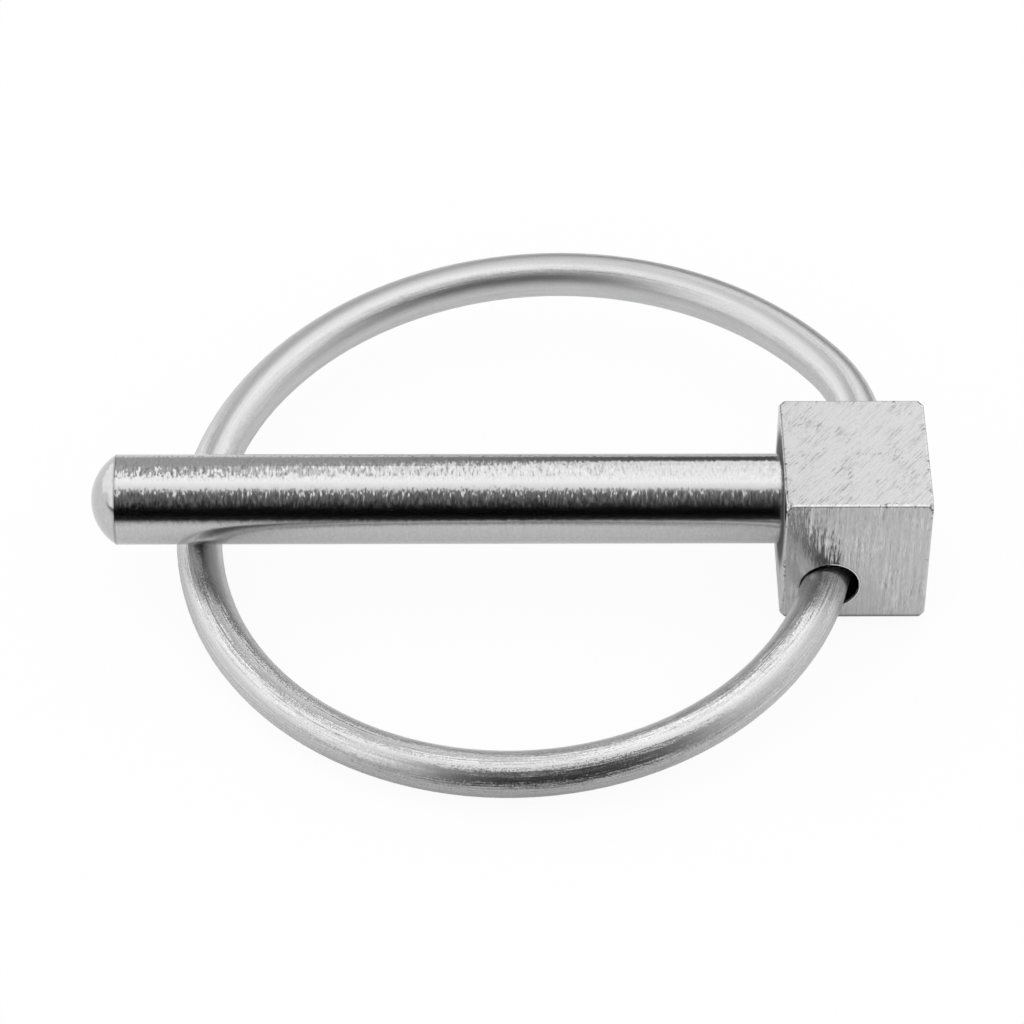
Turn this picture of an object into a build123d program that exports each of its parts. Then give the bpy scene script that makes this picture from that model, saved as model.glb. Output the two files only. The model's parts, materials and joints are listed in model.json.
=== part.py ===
from build123d import *
from math import asin, atan2, cos, degrees, radians, sin, sqrt
import os

# A locking pin: a round shank with a domed end and a square head, and a spring wire ring that swings on its
# own two ends in an oblique bore through the head. All sizes are in millimetres.
# The frame has its origin on the shank's axis where the shank meets the head, X along the shank with the
# domed end at -X, Y across and Z up. The ring lies closed against the underside of the shank.

# Driving dimensions of the shank
shank_diameter = 5.9
shank_length = 43.45
dome_height = 1.65

# Driving dimensions of the head, a length of square bar with its corners turned off and rounded at both ends
head_length = 9.5
head_side = 10.1
corner_cut = 0.38
corner_cut_length = 0.4
corner_round = 0.2
edge_radius = 0.15

# Driving dimensions of the ring
wire_diameter = 3.0
ring_front_radius = 20.85
ring_end_radius = 11.6
ring_join_angle = 34.2
wire_end_gap = 2.4
wire_end_break = 0.3

# Driving dimensions of the bore, whose two mouths lie at different distances from the shoulder and below the
# shank's axis
bore_front = 3.1
bore_back = 5.35
bore_front_drop = 3.15
bore_back_drop = 2.27
bore_break = 0.08

# Clearances: the wire in its bore all round, the wire to the side of the bore that it is sprung against,
# and the closed ring under the shank
bore_play = 0.36
wire_gap = 0.05
ring_clearance = 0.05

# Which side of the bore the wire is sprung against: at the front mouth, this angle above the way to the tip
wire_lean = 10.0

shank_radius = shank_diameter / 2
wire_radius = wire_diameter / 2
bore_radius = wire_radius + bore_play
half_side = head_side / 2

# The shank sits above the middle of the head by as much as brings the underside of the head level with that
# of the wire that crosses below the shank.
head_drop = shank_radius + ring_clearance + wire_diameter - half_side

# The ring turns about the line of its two straight ends. They are sprung against opposite sides of the bore:
# towards the shank and a little up at the front, the other way at the back. So this line is more oblique
# than the bore.
wire_shift = bore_play - wire_gap
shift_along = wire_shift * cos(radians(wire_lean))
shift_up = wire_shift * sin(radians(wire_lean))
hinge_front = Vector(bore_front - shift_along, -half_side, -bore_front_drop + shift_up)
hinge_back = Vector(bore_back + shift_along, half_side, -bore_back_drop - shift_up)
hinge_middle = (hinge_front + hinge_back) / 2
hinge_span = (hinge_back - hinge_front).length
hinge_line = (hinge_back - hinge_front).normalized()
hinge_slant = asin(hinge_line.X)

# The loop is three arcs that meet without a corner: one from the front mouth round to the tip side, a wide
# one along the back, and a tight one that turns into the back mouth. They are worked out in the ring's own
# plane, where x points away from the hinge line and y along it. The wide radius is the one that closes the
# loop.
join = radians(ring_join_angle)
end_step = ring_front_radius - ring_end_radius
wide_step = hinge_span**2 / (2 * (end_step * (1 + cos(join)) + hinge_span * sin(join)))
ring_wide_radius = ring_front_radius + wide_step
wide_center = Vector(ring_front_radius - wide_step * cos(join), wide_step * sin(join) - hinge_span / 2)
end_center = Vector(ring_end_radius, hinge_span / 2)
end_way = end_center - wide_center
front_sweep = 180 - ring_join_angle
end_sweep = 180 - degrees(atan2(end_way.Y, end_way.X))
wide_sweep = 360 - front_sweep - end_sweep

# The closed ring falls from the bore to just under the shank, where it crosses below the shank's axis.
tip_way = Vector(cos(hinge_slant), -sin(hinge_slant))
along = wide_center.dot(tip_way)
crossing = along + sqrt(along**2 - wide_center.length**2 + ring_wide_radius**2)
ring_fall = shank_radius + ring_clearance + wire_radius + hinge_middle.Z
fall_angle = asin(ring_fall / crossing)
reach = Vector(-cos(fall_angle), 0, -sin(fall_angle))
ring_normal = reach.cross(hinge_line)
ring_plane = Plane(origin=hinge_middle, x_dir=hinge_line.cross(ring_normal), z_dir=ring_normal)

# The pin: head and shank are one piece.
corner_radius = half_side * sqrt(2)
head_axis = Axis((0, 0, -head_drop), (1, 0, 0))
dome_radius = (shank_radius**2 + dome_height**2) / (2 * dome_height)
bore_middle = Vector(bore_front + bore_back, 0, -bore_front_drop - bore_back_drop) / 2
bore_way = Vector(bore_back - bore_front, head_side, bore_front_drop - bore_back_drop)

with BuildPart() as pin:
    # The square bar, its edges broken, then its corners turned off at both ends and rounded
    with BuildSketch(Plane.YZ) as bar_section:
        with Locations((0, -head_drop)):
            Rectangle(head_side, head_side)
    extrude(amount=head_length)
    fillet(pin.edges(), edge_radius)
    with BuildSketch(Plane.XZ) as turned_profile:
        with BuildLine() as turned_outline:
            Polyline(
                (0, -head_drop),
                (0, corner_radius - corner_cut - head_drop),
                (corner_cut_length, corner_radius - head_drop),
                (head_length - corner_cut_length, corner_radius - head_drop),
                (head_length, corner_radius - corner_cut - head_drop),
                (head_length, -head_drop),
                close=True,
            )
        make_face()
    revolve(axis=head_axis, mode=Mode.INTERSECT)
    fillet(pin.faces().filter_by(GeomType.CONE).edges(), corner_round)

    # The shank, with a sharp edge where its dome begins. It starts inside the head.
    with BuildSketch(Plane.XZ) as shank_profile:
        with BuildLine() as shank_outline:
            root = Line((head_length / 2, 0), (head_length / 2, shank_radius))
            side = Line(root @ 1, (-shank_length, shank_radius))
            dome = RadiusArc(side @ 1, (-shank_length - dome_height, 0), -dome_radius)
            Line(dome @ 1, root @ 0)
        make_face()
    revolve(axis=Axis.X)

    # The bore, broken at both mouths
    with BuildSketch(Plane(origin=bore_middle, z_dir=bore_way)) as bore_section:
        Circle(bore_radius)
    extrude(amount=head_side, both=True, mode=Mode.SUBTRACT)
    bore_wall = pin.faces(Select.LAST).filter_by(GeomType.CYLINDER)
    chamfer(bore_wall.edges().filter_by(GeomType.LINE, reverse=True), bore_break)

pin.part.label = "pin"

with BuildPart() as ring:
    with BuildLine(ring_plane) as ring_path:
        front_end = Line((0, -wire_end_gap / 2), (0, -hinge_span / 2))
        front_arc = JernArc(front_end @ 1, front_end % 1, ring_front_radius, front_sweep)
        wide_arc = JernArc(front_arc @ 1, front_arc % 1, ring_wide_radius, wide_sweep)
        end_arc = JernArc(wide_arc @ 1, wide_arc % 1, ring_end_radius, end_sweep)
        Line(end_arc @ 1, (0, wire_end_gap / 2))
    with BuildSketch(Plane(origin=front_end @ 0, z_dir=front_end % 0)) as wire_section:
        Circle(wire_radius)
    sweep(path=ring_path.wires()[0])
    cut_ends = ring.faces().filter_by(GeomType.PLANE)
    chamfer(cut_ends.edges(), wire_end_break)

ring.part.label = "ring"

os.makedirs("parts", exist_ok=True)
export_step(pin.part, "parts/pin.step")
export_step(ring.part, "parts/ring.step")
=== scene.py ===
import json
from math import cos, radians, sin

import bpy
from mathutils import Matrix, Quaternion, Vector


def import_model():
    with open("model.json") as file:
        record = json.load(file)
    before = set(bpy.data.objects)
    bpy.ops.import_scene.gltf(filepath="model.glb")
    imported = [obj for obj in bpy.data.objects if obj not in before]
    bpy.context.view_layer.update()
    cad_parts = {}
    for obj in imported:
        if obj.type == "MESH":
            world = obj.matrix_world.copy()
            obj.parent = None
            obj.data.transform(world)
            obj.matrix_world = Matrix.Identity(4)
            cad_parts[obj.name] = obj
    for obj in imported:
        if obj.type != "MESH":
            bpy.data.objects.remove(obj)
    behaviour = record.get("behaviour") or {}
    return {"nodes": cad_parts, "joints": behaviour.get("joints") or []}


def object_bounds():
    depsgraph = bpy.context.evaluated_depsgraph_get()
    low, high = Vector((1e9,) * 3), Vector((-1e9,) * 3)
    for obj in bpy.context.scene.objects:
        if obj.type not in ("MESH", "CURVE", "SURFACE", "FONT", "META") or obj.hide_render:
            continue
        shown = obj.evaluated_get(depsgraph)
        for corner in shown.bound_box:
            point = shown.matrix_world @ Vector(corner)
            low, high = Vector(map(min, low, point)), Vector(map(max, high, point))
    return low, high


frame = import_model()
cad_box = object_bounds()

# Looks of a locking pin: a ground round shank with a brushed square head, and a ring of drawn spring wire.
# Everything is in metres, in the frame of the model: X along the shank towards the head, Y to the back, Z up.
MM = 0.001

# The camera, as fitted to the view: where it stands, what it looks at, its turn about the view and its lens
CAMERA_PLACE = Vector((-23.26, -236.39, 223.80)) * MM
CAMERA_AIM = Vector((-17.535, 0.848, -2.0)) * MM
CAMERA_ROLL = radians(0.844)
CAMERA_LENS = 174.74
SENSOR = 36.0
CLIP_NEAR = 0.01
CLIP_FAR = 50.0

# Sizes of the pin and the ring that their finish follows
SHOULDER_X = 0.0
DOME_X = -43.45 * MM
HEAD_LENGTH = 9.5 * MM
HALF_SIDE = 5.05 * MM
HEAD_DROP = 0.95 * MM
HEAD_BOTTOM = -HALF_SIDE - HEAD_DROP
BORE_MIDDLE = Vector((4.225, 0.0, -2.71)) * MM
BORE_WAY = Vector((2.25, 10.1, 0.88)).normalized()
BORE_RADIUS = 1.86 * MM
WIRE_RADIUS = 1.5 * MM
RING_MIDDLE = Vector((-15.5, 1.5, -3.7)) * MM
RING_REACH = Vector((-1.0, 0.0, -0.038))
RING_RADIUS = 22.0 * MM

# Linear greys of the metal, and how rough it is
STEEL = 0.52
# The grey of the painted shade round the shank's root
ROOT_SHADE_GREY = 0.02
RING_STEEL = 0.57
SHANK_ROUGHNESS = 0.15
HEAD_ROUGHNESS = 0.25
SHOULDER_ROUGHNESS = 0.2
# The roughness of the painted shade round the shank's root
ROOT_SHADE_ROUGHNESS = 0.8

# Sizes of the marks in millimetres: on the pin along X, Y and Z, and on the ring two across the wire and one
# along it
SHANK_SIZES = {
    "grain": (0.15, 0.3, 0.3),
    "fleck": (0.14, 0.3, 0.3),
    "wave": (0.5, 0.9, 0.9),
    "scar": (0.17, 0.55, 0.55),
}
TOP_SIZES = {
    "hatch": (2.4, 0.2, 2.0),
    "fleck": (1.1, 0.13, 0.6),
    "fine": (0.4, 0.085, 0.3),
}
SIDE_SIZES = {
    "hatch": (0.16, 0.16, 3.5),
    "fleck": (0.11, 0.11, 1.3),
    "fine": (0.08, 0.08, 0.5),
}
RING_SIZES = {
    "band": (0.3, 0.3, 40.0),
    "line": (0.09, 0.09, 8.0),
    "short": (0.06, 0.06, 1.1),
    "grain": (0.11, 0.11, 0.11),
    "dark_line": (0.075, 0.075, 5.0),
}

# The share of each kind of mark: in the tilt of the surface, in its shade, or on the head in both
SHANK_TILT = {"grain": 0.05, "fleck": 0.05, "wave": 0.012}
SHANK_SHADE = {"grain": 0.06, "fleck": 0.06}
SCAR_TILT = {"back": 0.3, "front": -0.15}
PIT_SHADE = {"back": -0.46, "front": -0.34}
TOP_SHARES = {"hatch": 0.29, "fleck": 0.06, "fine": 0.19}
SIDE_SHARES = {"hatch": 0.13, "fleck": 0.13, "fine": 0.16}
RING_TILT = {"band": 0.04, "line": 0.07, "short": 0.08, "grain": 0.15, "dark_line": 0.13}
RING_SHADE = {"band": 0.04, "line": 0.12, "short": 0.08, "grain": 0.17, "dark_line": 0.15}

# The noise of the marks is spread from -2 to 2. A fleck begins at one level of it and is full at the next.
NOISE_GAIN = 4.0
STREAK_ROUGHNESS = 0.6
FLECK_LEVELS = (0.25, 0.8)
SHANK_FLECK_LEVELS = (0.15, 0.9)

# From here on a name with four numbers is a fade: where a change begins, where it ends, and the values there.
# NX, NY and NZ are the parts of the surface's direction that point along the axes.
RISE = (0.0, 1.0)
FALL = (1.0, 0.0)

# Where the head begins
HEAD_START_X = (SHOULDER_X - 0.02 * MM, SHOULDER_X - 0.01 * MM, *RISE)

# How strong the marks on the shank are: fainter low down, stronger again on its very top, fainter behind
# that and towards the head
SHANK_LOW_NZ = (0.36, 0.62, 0.25, 1.0)
SHANK_TOP_NY = (-0.32, -0.24, 0.0, 0.8)
SHANK_TOP_END_NY = (0.0, 0.15, *FALL)
SHANK_BEHIND_NY = (0.0, 0.2, 1.0, 0.5)
SHANK_NEAR_HEAD_X = (-14.0 * MM, -1.0 * MM, 1.0, 0.45)

# The zones of deeper marks in front of the shank's bright band and behind it, and the levels of the noise
# that make bright scars and dark pits
FRONT_ZONE_NY = (-0.66, -0.56, *FALL)
FRONT_ZONE_NZ = (0.45, 0.66, *RISE)
BACK_ZONE_NY = (-0.31, -0.25, *RISE)
BACK_ZONE_END_NY = (-0.02, 0.1, 1.0, 0.3)
BACK_ZONE_X = (-20.0 * MM, -6.0 * MM, 1.0, 0.3)
PAST_DOME_X = (DOME_X, DOME_X + 0.1 * MM, *RISE)
SCAR_LEVELS = (-0.15, 0.9, *RISE)
PIT_LEVELS = (-0.05, -0.9, *RISE)

# The sharp edge where the dome begins, by the distance from it
DOME_EDGE = (0.04 * MM, 0.13 * MM, -0.35, 0.0)

# Brush marks of the head: their way on top, how they vary in patches, and how deep they are on each face
TOP_BRUSH_TURN = radians(-52)
TOP_BRUSH_ACROSS = (-0.788, 0.616, 0.0)
TOP_FACE_NZ = (0.6, 0.8, *RISE)
END_FACE_NX = (0.9, 0.97, *RISE)
SHOULDER_FACE_X = (1.0 * MM, 1.1 * MM, *FALL)
PATCH_SIZE = 2.2 * MM
PATCH_LEVELS = (0.35, 0.65, 0.6, 1.4)
SIDE_DEPTH = 0.9
TOP_DEPTH = 0.6
SHOULDER_DEPTH = 0.3

# Wear and painted light on the head, by the distance from its nearest edge: a painted highlight along it,
# a strip bent up towards the light, and dents. The dents are darker, and the lower edge has painted shade.
EDGE_HIGHLIGHT = (0.05 * MM, 0.16 * MM, 0.1, 0.0)
WORN_EDGE = (0.1 * MM, 0.2 * MM, *FALL)
WORN_EDGE_NZ = (0.05, 0.3, *RISE)
WORN_EDGE_LIFT = 0.9
DENT_SIZE = 0.3 * MM
DENT_LEVELS = (0.63, 0.7, *RISE)
DENT_EDGE = (0.1 * MM, 0.35 * MM, *FALL)
DENT_SHADE = -0.6
# The painted shade along the head's lower edge
LOWER_EDGE_PAINTED_SHADE_Z = (HEAD_BOTTOM + 0.12 * MM, HEAD_BOTTOM + 0.4 * MM, *FALL)
LOWER_EDGE_PAINTED_SHADE = -0.55

# The broken edge round the mouths of the bore
RIM_FROM_BORE = (BORE_RADIUS + 0.13 * MM, BORE_RADIUS + 0.2 * MM, *FALL)
RIM_Y = (4.93 * MM, 4.97 * MM, *RISE)
RIM_X = (2.4 * MM, 3.4 * MM, *RISE)
RIM_LIFT = 1.8

# Painted shade round the shank's root on the shoulder, dark, dull and rough, by the distance from the shank's
# axis
ROOT_SHADE_FROM_AXIS = (3.7 * MM, 5.1 * MM, 0.9, 0.0)

# The ring's marks are fainter at the back than in front, and its finish is a little rougher there
RING_WEAR_Y = (-8.0 * MM, 12.0 * MM, 1.3, 0.45)
RING_ROUGHNESS_Y = (-5.0 * MM, 15.0 * MM, 0.3, 0.38)

# The studio: a pale floor, and a light tent over it that only reflections see. The tent has its own map of
# light: dark towards the camera, a bright panel overhead that reaches back on the right, greyer behind, and
# bright again far out on both sides.
TENT_RADIUS = 0.6
TENT_HALF_LENGTH = 3.0

# The arc of the tent in degrees, from just below the front horizon to just below the back one
TENT_STEPS = 90
TENT_START = -1
TENT_SWEEP = 182

# Light of the tent's middle, by the angle up from the front horizon, in degrees
FRONT_LIGHT = [
    (0, 0.001),
    (18, 0.004),
    (26, 0.03),
    (34, 0.08),
    (41, 0.14),
    (50, 0.2),
    (60, 0.25),
    (64.3, 0.38),
    (68.4, 1.18),
    (73, 1.32),
    (79, 1.42),
    (88, 1.64),
    (105, 1.55),
    (180, 1.25),
]

# Past this angle the light behind takes over: a panel with a soft side and grey beside it. The panel's end
# slants by so many degrees for each metre of X, and comes at the last angle at the latest.
BEHIND_ANGLE = (102.2, 105.2, *RISE)
PANEL_SIDE_X = (-0.076, -0.018, *RISE)
PANEL_END_SLANT = 400.0
PANEL_END_MIDDLE = 150.5
PANEL_END_LAST = 154.5
PANEL_END_FADE = (-1.5, 1.5, *FALL)
BEHIND_GREY_X = (-0.06, 0.03, 0.56, 0.1)

# The bright light far out on both sides
FAR_LEFT_X = (-0.2, -0.5, *RISE)
FAR_LEFT_LIGHT = 1.4
FAR_RIGHT_X = (0.35, 1.0, *RISE)
FAR_RIGHT_LIGHT = 0.95

# The dark sheet of painted shade just above the table in front, which only reflections see, and its fade by Y
FLAG_NEAR_Y = -0.008
FLAG_FAR_Y = -0.62
FLAG_HALF_WIDTH = 1.0
FLAG_HEIGHT = 0.02 * MM
FLAG_GREY = 0.01
FLAG_FADE_Y = (-0.042, -0.0115, *FALL)

# The floor, and how much of it glows to the camera and in reflections
FLOOR_HALF_SIDE = 6.0
FLOOR_GREY = 0.98
FLOOR_GLOW_SEEN = 0.93
FLOOR_GLOW_REFLECTED = 0.25


class Graph:
    """A small helper that builds a shader's node tree from expressions."""

    def __init__(self, tree):
        self.tree = tree
        tree.nodes.clear()

    def add(self, kind, inputs=(), **settings):
        made = self.tree.nodes.new(kind)
        for key, value in settings.items():
            setattr(made, key, value)
        for key, value in dict(inputs).items():
            self.plug(made.inputs[key], value)
        return made

    def plug(self, socket, value):
        if isinstance(value, bpy.types.NodeSocket):
            self.tree.links.new(value, socket)
        else:
            socket.default_value = value

    def coordinates(self):
        """The place and the direction of the surface, in the object's own space."""
        outputs = self.add("ShaderNodeTexCoord").outputs
        return outputs["Object"], outputs["Normal"]

    def math(self, operation, *values):
        return self.add("ShaderNodeMath", enumerate(values), operation=operation).outputs[0]

    def product(self, first, *others):
        for other in others:
            first = self.math("MULTIPLY", first, other)
        return first

    def vector(self, operation, *values):
        made = self.add("ShaderNodeVectorMath", enumerate(values), operation=operation)
        return made.outputs["Value" if operation in ("DOT_PRODUCT", "LENGTH") else "Vector"]

    def scaled(self, vector, factor):
        made = self.add("ShaderNodeVectorMath", {0: vector, "Scale": factor}, operation="SCALE")
        return made.outputs["Vector"]

    def separate(self, vector):
        return self.add("ShaderNodeSeparateXYZ", {0: vector}).outputs[:3]

    def combine(self, x, y, z):
        return self.add("ShaderNodeCombineXYZ", {0: x, 1: y, 2: z}).outputs[0]

    def noise(self, place, sizes, detail=1.0, roughness=0.5):
        """Noise from 0 to 1 with features of the given sizes along X, Y and Z."""
        vector = self.vector("DIVIDE", place, sizes)
        made = self.add(
            "ShaderNodeTexNoise",
            {"Vector": vector, "Scale": 1.0, "Detail": detail, "Roughness": roughness},
        )
        return made.outputs["Fac"]

    def between(self, value, low, high, to_low, to_high):
        """A fade: a value that changes softly while the given one runs from low to high."""
        made = self.add(
            "ShaderNodeMapRange",
            {"Value": value, "From Min": low, "From Max": high, "To Min": to_low, "To Max": to_high},
            interpolation_type="SMOOTHSTEP",
        )
        return made.outputs["Result"]

    def mix(self, factor, first, second):
        made = self.add("ShaderNodeMix", {0: factor, 2: first, 3: second}, data_type="FLOAT")
        return made.outputs[0]

    def mix_vector(self, factor, first, second):
        made = self.add("ShaderNodeMix", {0: factor, 4: first, 5: second}, data_type="VECTOR")
        return made.outputs[1]

    def turned(self, vector, axis, angle):
        made = self.add(
            "ShaderNodeVectorRotate",
            {"Vector": vector, "Axis": axis, "Angle": angle},
            rotation_type="AXIS_ANGLE",
        )
        return made.outputs[0]

    def bent(self, normal, tilt):
        """The direction of the surface once its marks have tilted it."""
        return self.vector("NORMALIZE", self.vector("ADD", normal, tilt))


def new_material(name):
    material = bpy.data.materials.new(name)
    material.use_nodes = True
    return material, Graph(material.node_tree)


def world_normal(graph, normal):
    """An object space normal, turned into the space that shaders use."""
    made = graph.add(
        "ShaderNodeVectorTransform",
        {0: normal},
        vector_type="NORMAL",
        convert_from="OBJECT",
        convert_to="WORLD",
    )
    return graph.vector("NORMALIZE", made.outputs[0])


def steel_output(graph, grey, roughness, normal, metallic=1.0):
    shader = graph.add(
        "ShaderNodeBsdfPrincipled",
        {
            "Base Color": graph.add("ShaderNodeCombineColor", {0: grey, 1: grey, 2: grey}).outputs[0],
            "Metallic": metallic,
            "Roughness": roughness,
            "Normal": world_normal(graph, normal),
        },
    )
    graph.add("ShaderNodeOutputMaterial", {"Surface": shader.outputs[0]})


def streaks(graph, place, sizes, detail=2.0):
    """Marks of the given sizes, from -1 to 1 but mostly near 0."""
    noise = graph.noise(place, [size * MM for size in sizes], detail, STREAK_ROUGHNESS)
    return graph.math("MULTIPLY_ADD", noise, NOISE_GAIN, -NOISE_GAIN / 2)


def flecks(graph, place, sizes, levels=FLECK_LEVELS):
    """Scattered marks of the given sizes, from -1 to 1 with bare steel between them."""
    low, high = levels
    marks = streaks(graph, place, sizes, detail=1.0)
    raised = graph.between(marks, low, high, *RISE)
    sunk = graph.between(marks, -low, -high, *RISE)
    return graph.math("SUBTRACT", raised, sunk)


def total(graph, values, shares):
    """The sum of the named values, each times its share."""
    whole = 0.0
    for name, share in shares.items():
        whole = graph.math("MULTIPLY_ADD", values[name], share, whole)
    return whole


def shank_finish(graph, place, normal):
    """Grinding marks that run round the shank: how they tilt its surface, and how they shade it."""
    x = graph.separate(place)[0]
    ny, nz = graph.separate(normal)[1:]
    round_way = graph.vector("CROSS_PRODUCT", (1.0, 0.0, 0.0), normal)
    marks = {
        "grain": streaks(graph, place, SHANK_SIZES["grain"]),
        "fleck": flecks(graph, place, SHANK_SIZES["fleck"], SHANK_FLECK_LEVELS),
        "wave": streaks(graph, place, SHANK_SIZES["wave"], detail=1.0),
    }
    on_top = graph.product(graph.between(ny, *SHANK_TOP_NY), graph.between(ny, *SHANK_TOP_END_NY))
    strength = graph.product(
        graph.math("ADD", graph.between(nz, *SHANK_LOW_NZ), on_top),
        graph.between(ny, *SHANK_BEHIND_NY),
        graph.between(x, *SHANK_NEAR_HEAD_X),
    )
    tilt = graph.product(total(graph, marks, SHANK_TILT), strength)

    # On both sides of the bright band there are deeper marks: bright ones that lean towards it, and dark pits
    on_shank = graph.between(x, *PAST_DOME_X)
    zones = {
        "front": graph.product(
            graph.between(ny, *FRONT_ZONE_NY),
            graph.between(nz, *FRONT_ZONE_NZ),
            on_shank,
        ),
        "back": graph.product(
            graph.between(ny, *BACK_ZONE_NY),
            graph.between(ny, *BACK_ZONE_END_NY),
            graph.between(x, *BACK_ZONE_X),
            on_shank,
        ),
    }
    deeper = streaks(graph, place, SHANK_SIZES["scar"], detail=1.0)
    scar = graph.product(graph.between(deeper, *SCAR_LEVELS), total(graph, zones, SCAR_TILT))
    pit = graph.product(graph.between(deeper, *PIT_LEVELS), total(graph, zones, PIT_SHADE))
    tilt = graph.scaled(round_way, graph.math("ADD", tilt, scar))
    shade = graph.math("ADD", total(graph, marks, SHANK_SHADE), pit)

    # The sharp edge where the dome begins is a little darker
    from_edge = graph.math("ABSOLUTE", graph.math("SUBTRACT", x, DOME_X))
    return tilt, graph.math("ADD", shade, graph.between(from_edge, *DOME_EDGE))


def brush_marks(graph, place, sizes, shares):
    """Long hatching, scattered flecks and fine streaks, all along one way."""
    marks = {
        "hatch": streaks(graph, place, sizes["hatch"], detail=1.0),
        "fleck": flecks(graph, place, sizes["fleck"]),
        "fine": streaks(graph, place, sizes["fine"]),
    }
    return total(graph, marks, shares)


def edge_distance(graph, x, y, z):
    """How far a point on the head's surface is from the nearest edge of the head."""
    to_end = graph.math("MINIMUM", graph.math("ABSOLUTE", x), graph.math("SUBTRACT", HEAD_LENGTH, x))
    to_side = graph.math("SUBTRACT", HALF_SIDE, graph.math("ABSOLUTE", y))
    to_top = graph.math("SUBTRACT", HALF_SIDE, graph.math("ABSOLUTE", graph.math("ADD", z, HEAD_DROP)))
    lower = graph.math("MINIMUM", to_end, to_side)
    upper = graph.math("MAXIMUM", to_end, to_side)
    return graph.math("MAXIMUM", lower, graph.math("MINIMUM", upper, to_top))


def head_finish(graph, place, normal, on_shoulder):
    """The head's faces, brushed each in its own direction: how that tilts their surface and shades it."""
    x, y, z = graph.separate(place)
    nz = graph.separate(normal)[2]

    # Brush marks slant on top and below, and are upright on the sides
    facing_up = graph.between(graph.math("ABSOLUTE", nz), *TOP_FACE_NZ)
    slanted = graph.turned(place, (0.0, 0.0, 1.0), TOP_BRUSH_TURN)
    top_marks = brush_marks(graph, slanted, TOP_SIZES, TOP_SHARES)
    side_marks = brush_marks(graph, place, SIDE_SIZES, SIDE_SHARES)
    patch = graph.noise(place, (PATCH_SIZE, PATCH_SIZE, PATCH_SIZE))
    marks = graph.product(graph.mix(facing_up, side_marks, top_marks), graph.between(patch, *PATCH_LEVELS))
    side_across = graph.vector("CROSS_PRODUCT", (0.0, 0.0, 1.0), normal)
    across = graph.mix_vector(facing_up, side_across, TOP_BRUSH_ACROSS)
    depth = graph.mix(on_shoulder, graph.mix(facing_up, SIDE_DEPTH, TOP_DEPTH), SHOULDER_DEPTH)
    tilt = graph.scaled(across, graph.product(marks, depth))

    # The head's edges get a painted highlight line and are worn, and the mouths of the bore are worn too
    edge = edge_distance(graph, x, y, z)
    edge_highlight = graph.between(edge, *EDGE_HIGHLIGHT)
    worn = graph.product(graph.between(edge, *WORN_EDGE), graph.between(nz, *WORN_EDGE_NZ))
    from_bore = graph.vector("CROSS_PRODUCT", graph.vector("SUBTRACT", place, BORE_MIDDLE), BORE_WAY)
    rim = graph.product(
        graph.between(graph.vector("LENGTH", from_bore), *RIM_FROM_BORE),
        graph.between(graph.math("ABSOLUTE", y), *RIM_Y),
        graph.between(x, *RIM_X),
    )
    lift = graph.math("MAXIMUM", graph.product(worn, WORN_EDGE_LIFT), graph.product(rim, RIM_LIFT))
    tilt = graph.vector("ADD", tilt, graph.combine(0.0, 0.0, lift))

    # There are dents in the edges here and there, and the lower edge gets painted shade
    dent_noise = graph.noise(place, (DENT_SIZE, DENT_SIZE, DENT_SIZE))
    dent = graph.product(graph.between(dent_noise, *DENT_LEVELS), graph.between(edge, *DENT_EDGE))
    shade = graph.mix(dent, graph.math("ADD", marks, edge_highlight), DENT_SHADE)
    shade = graph.mix(graph.between(z, *LOWER_EDGE_PAINTED_SHADE_Z), shade, LOWER_EDGE_PAINTED_SHADE)
    return tilt, shade


def pin_steel():
    """One finish for the whole pin, whose shank, head and shoulder each have their own marks."""
    material, graph = new_material("pin_steel_finish")
    place, normal = graph.coordinates()
    x, y, z = graph.separate(place)
    nx = graph.separate(normal)[0]
    on_head = graph.between(x, *HEAD_START_X)
    on_end = graph.between(graph.math("ABSOLUTE", nx), *END_FACE_NX)
    on_shoulder = graph.product(on_end, graph.between(x, *SHOULDER_FACE_X), on_head)
    shank_tilt, shank_shade = shank_finish(graph, place, normal)
    head_tilt, head_shade = head_finish(graph, place, normal, on_shoulder)
    tilt = graph.mix_vector(on_head, shank_tilt, head_tilt)
    shade = graph.math("ADD", graph.mix(on_head, shank_shade, head_shade), 1.0)

    # Where the shank meets the head the turned face gets painted shade: dark, dull and rough
    from_axis = graph.vector("LENGTH", graph.combine(0.0, y, z))
    root_shade = graph.product(graph.between(from_axis, *ROOT_SHADE_FROM_AXIS), on_shoulder)
    grey = graph.mix(root_shade, graph.product(shade, STEEL), ROOT_SHADE_GREY)
    head_roughness = graph.mix(on_shoulder, HEAD_ROUGHNESS, SHOULDER_ROUGHNESS)
    roughness = graph.mix(root_shade, graph.mix(on_head, SHANK_ROUGHNESS, head_roughness), ROOT_SHADE_ROUGHNESS)
    metallic = graph.math("SUBTRACT", 1.0, root_shade)
    steel_output(graph, grey, roughness, graph.bent(normal, tilt), metallic)
    return material


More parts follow.
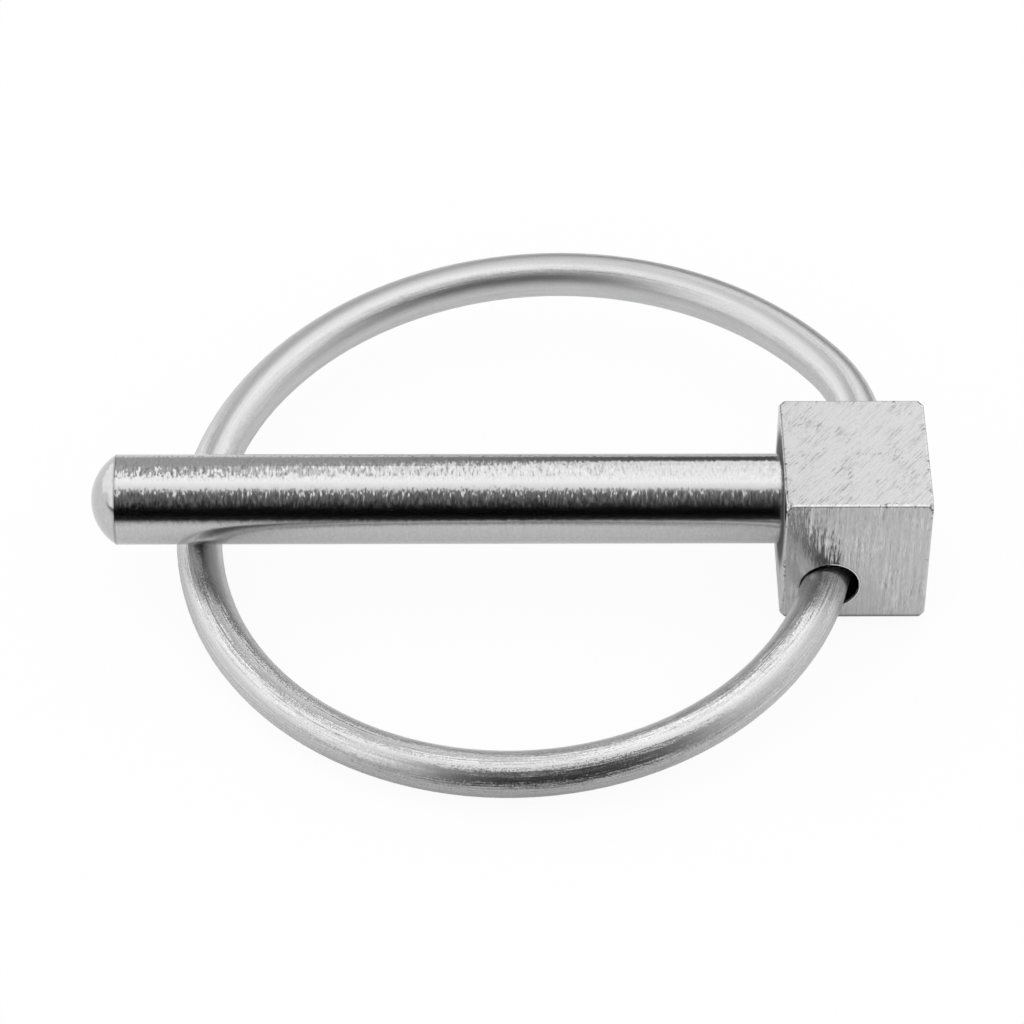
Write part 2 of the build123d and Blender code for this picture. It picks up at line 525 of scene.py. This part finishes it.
def ring_steel():
    """Drawing lines run along the wire, each at a steady place round its section."""
    material, graph = new_material("ring_steel_finish")
    place, normal = graph.coordinates()
    hinge = Vector(frame["joints"][0]["axis"]).normalized()
    up = hinge.cross(RING_REACH).normalized()
    up *= 1 if up.z > 0 else -1
    out = graph.vector("SUBTRACT", place, RING_MIDDLE)
    height = graph.vector("DOT_PRODUCT", normal, up)
    outward = graph.vector("DOT_PRODUCT", normal, graph.vector("NORMALIZE", out))
    ox, oy = graph.separate(out)[:2]

    # The way along the wire, in metres, with its seam inside the head
    turn = graph.math("ARCTAN2", graph.product(oy, -1.0), graph.product(ox, -1.0))
    round_place = graph.combine(
        graph.product(height, WIRE_RADIUS),
        graph.product(outward, WIRE_RADIUS),
        graph.product(turn, RING_RADIUS),
    )
    marks = {
        "band": streaks(graph, round_place, RING_SIZES["band"], detail=1.0),
        "line": streaks(graph, round_place, RING_SIZES["line"]),
        "short": streaks(graph, round_place, RING_SIZES["short"]),
        "grain": streaks(graph, place, RING_SIZES["grain"]),
        "dark_line": flecks(graph, round_place, RING_SIZES["dark_line"]),
    }
    wear = graph.between(oy, *RING_WEAR_Y)
    along = graph.vector("NORMALIZE", graph.vector("CROSS_PRODUCT", up, out))
    across = graph.vector("CROSS_PRODUCT", along, normal)
    tilt = graph.scaled(across, graph.product(total(graph, marks, RING_TILT), wear))
    shade = graph.math("MULTIPLY_ADD", total(graph, marks, RING_SHADE), wear, 1.0)
    roughness = graph.between(oy, *RING_ROUGHNESS_Y)
    steel_output(graph, graph.product(shade, RING_STEEL), roughness, graph.bent(normal, tilt))
    return material


def dress(node, material):
    for slot in frame["nodes"][node].material_slots:
        slot.material = material


def stage_piece(name, verts, faces, material, reflections_only=False):
    """A piece of the studio. The camera and the floor don't see one that is for reflections only."""
    mesh = bpy.data.meshes.new(name)
    mesh.from_pydata(verts, [], faces)
    mesh.materials.append(material)
    piece = bpy.data.objects.new(name, mesh)
    bpy.context.scene.collection.objects.link(piece)
    if reflections_only:
        piece.visible_camera = False
        piece.visible_shadow = False
        piece.visible_diffuse = False


def flat_sheet(name, half_width, low_y, high_y, level, material, reflections_only=False):
    corners = [
        (-half_width, low_y, level),
        (half_width, low_y, level),
        (half_width, high_y, level),
        (-half_width, high_y, level),
    ]
    stage_piece(name, corners, [(0, 1, 2, 3)], material, reflections_only)


def stage_material(name):
    """A material that glows but isn't sampled as a lamp."""
    material, graph = new_material(name)
    material.cycles.emission_sampling = "NONE"
    return material, graph


def glow(graph, level, strength=1.0):
    color = (level, level, level, 1.0)
    return graph.add("ShaderNodeEmission", {"Color": color, "Strength": strength}).outputs[0]


def surface_mix(graph, factor, first, second):
    both = graph.add("ShaderNodeMixShader", {0: factor, 1: first, 2: second})
    graph.add("ShaderNodeOutputMaterial", {"Surface": both.outputs[0]})


def curve(graph, value, points):
    """A value that runs straight between the given points."""
    low, high = points[0][0], points[-1][0]
    peak = max(level for at, level in points)
    part = graph.math("DIVIDE", graph.math("SUBTRACT", value, low), high - low)
    made = graph.add("ShaderNodeFloatCurve", {1: part})
    line = made.mapping.curves[0]
    while len(line.points) < len(points):
        line.points.new(0.5, 0.5)
    for point, (at, level) in zip(line.points, points):
        point.location = ((at - low) / (high - low), level / peak)
        point.handle_type = "VECTOR"
    made.mapping.update()
    return graph.product(made.outputs[0], peak)


def tent_light():
    material, graph = stage_material("tent_light")
    x, y, z = graph.separate(graph.coordinates()[0])
    angle = graph.math("DEGREES", graph.math("ARCTAN2", z, graph.product(y, -1.0)))
    middle = curve(graph, angle, FRONT_LIGHT)

    # Behind the strip overhead there is the panel, and grey to the left of it
    panel_end = graph.math("MULTIPLY_ADD", x, PANEL_END_SLANT, PANEL_END_MIDDLE)
    panel_end = graph.math("MINIMUM", panel_end, PANEL_END_LAST)
    past_end = graph.math("SUBTRACT", angle, panel_end)
    panel = graph.product(graph.between(x, *PANEL_SIDE_X), graph.between(past_end, *PANEL_END_FADE))
    behind = graph.mix(panel, graph.between(x, *BEHIND_GREY_X), middle)
    light = graph.mix(graph.between(angle, *BEHIND_ANGLE), middle, behind)

    # Far out at both sides the tent is bright again
    light = graph.mix(graph.between(x, *FAR_LEFT_X), light, FAR_LEFT_LIGHT)
    light = graph.mix(graph.between(x, *FAR_RIGHT_X), light, FAR_RIGHT_LIGHT)
    graph.add("ShaderNodeOutputMaterial", {"Surface": glow(graph, 1.0, light)})
    return material


def tent():
    verts = []
    for step in range(TENT_STEPS + 1):
        turn = radians(TENT_START + TENT_SWEEP * step / TENT_STEPS)
        y, z = -TENT_RADIUS * cos(turn), TENT_RADIUS * sin(turn)
        verts += [(-TENT_HALF_LENGTH, y, z), (TENT_HALF_LENGTH, y, z)]
    faces = [(2 * step, 2 * step + 1, 2 * step + 3, 2 * step + 2) for step in range(TENT_STEPS)]
    stage_piece("tent", verts, faces, tent_light(), reflections_only=True)


def dark_flag(level):
    """A dark sheet of painted shade on the table in front, which only the metal's reflections see. It fades
    in with the distance.
    """
    material, graph = stage_material("dark_flag_painted_shade")
    y = graph.separate(graph.coordinates()[0])[1]
    clear = graph.add("ShaderNodeBsdfTransparent").outputs[0]
    surface_mix(graph, graph.between(y, *FLAG_FADE_Y), clear, glow(graph, FLAG_GREY))
    flat_sheet("dark_flag", FLAG_HALF_WIDTH, FLAG_FAR_Y, FLAG_NEAR_Y, level, material, reflections_only=True)


def floor(level):
    """Pale paper that glows to the camera, so that it looks nearly white with faint shadows."""
    material, graph = stage_material("floor_paper")
    paper = graph.add("ShaderNodeBsdfDiffuse", {"Color": (FLOOR_GREY, FLOOR_GREY, FLOOR_GREY, 1.0)})
    rays = graph.add("ShaderNodeLightPath").outputs
    seen = graph.math("MAXIMUM", rays["Is Camera Ray"], rays["Is Transmission Ray"])
    seen = graph.product(seen, FLOOR_GLOW_SEEN)
    reflected = graph.product(rays["Is Glossy Ray"], FLOOR_GLOW_REFLECTED)
    surface_mix(graph, graph.math("MAXIMUM", seen, reflected), paper.outputs[0], glow(graph, 1.0))
    flat_sheet("floor", FLOOR_HALF_SIDE, -FLOOR_HALF_SIDE, FLOOR_HALF_SIDE, level, material)


def world():
    """A plain white surrounding."""
    made = bpy.data.worlds.new("studio")
    bpy.context.scene.world = made
    made.use_nodes = True
    graph = Graph(made.node_tree)
    white = graph.add("ShaderNodeBackground", {"Color": (1.0, 1.0, 1.0, 1.0), "Strength": 1.0})
    graph.add("ShaderNodeOutputWorld", {"Surface": white.outputs[0]})


def camera():
    data = bpy.data.cameras.new("camera")
    data.lens = CAMERA_LENS
    data.sensor_width = SENSOR
    data.clip_start = CLIP_NEAR
    data.clip_end = CLIP_FAR
    piece = bpy.data.objects.new("camera", data)
    look = (CAMERA_AIM - CAMERA_PLACE).to_track_quat("-Z", "Y")
    turn = Quaternion((0.0, 0.0, 1.0), CAMERA_ROLL)
    piece.matrix_world = Matrix.Translation(CAMERA_PLACE) @ (look @ turn).to_matrix().to_4x4()
    bpy.context.scene.collection.objects.link(piece)
    bpy.context.scene.camera = piece


floor_level = cad_box[0][2]
dress("pin", pin_steel())
dress("ring", ring_steel())
floor(floor_level)
tent()
dark_flag(floor_level + FLAG_HEIGHT)
world()
camera()
bpy.context.scene.view_settings.view_transform = "Standard"
